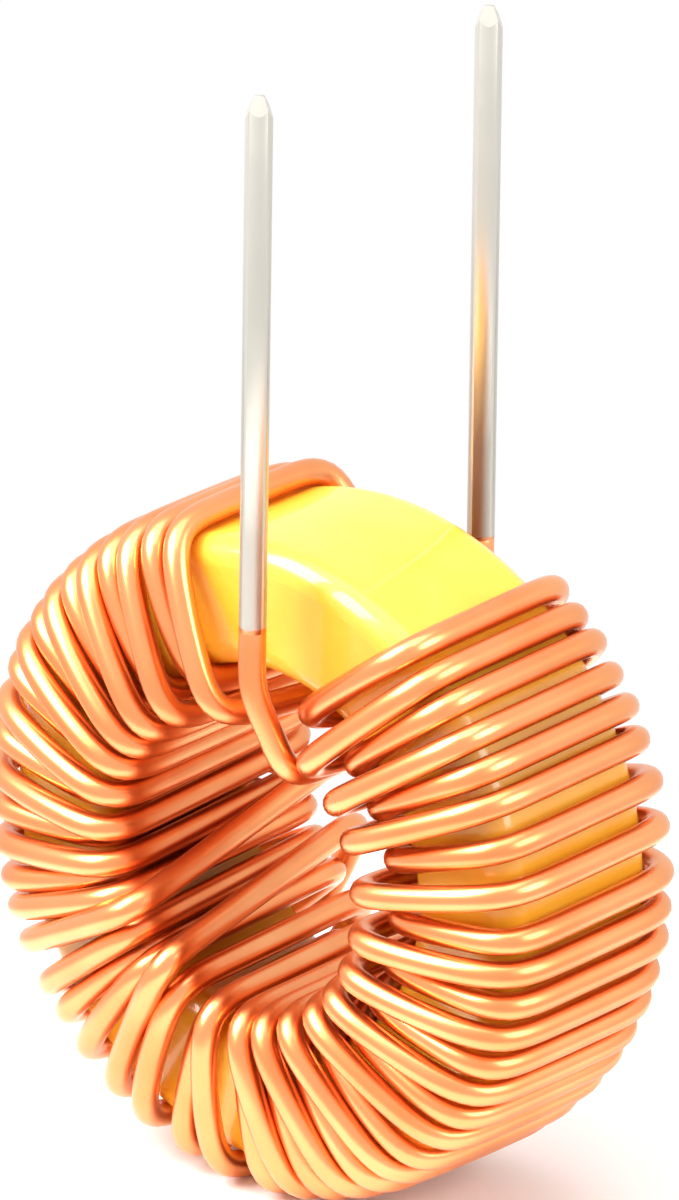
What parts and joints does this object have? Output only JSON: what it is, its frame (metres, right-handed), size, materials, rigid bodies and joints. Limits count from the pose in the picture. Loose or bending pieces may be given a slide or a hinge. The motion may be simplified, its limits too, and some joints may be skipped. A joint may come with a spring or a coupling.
{
  "type": "toroidal inductor",
  "caption": "Coated powder-iron ring wound with thick enamelled copper wire; straight tinned leads solder into a circuit board.",
  "frame": {"origin": "midway between the two leads, in the plane where a circuit board seats on top of the winding", "axes": "+Z along the leads towards their tips, Y along the ring's axis with the front face towards -Y"},
  "size_m": [0.026, 0.0136, 0.0433],
  "materials": {
    "core_coat": "gloss",
    "enamelled_copper": "gloss",
    "tin": "satin"
  },
  "bodies": {
    "root": {"core": "core_coat", "winding_1": "enamelled_copper", "winding_2": "enamelled_copper", "winding_3": "enamelled_copper", "winding_4": "enamelled_copper", "winding_5": "enamelled_copper", "winding_6": "enamelled_copper", "winding_7": "enamelled_copper", "winding_8": "enamelled_copper", "lead_front": "tin", "lead_back": "tin"}
  },
  "joints": []
}
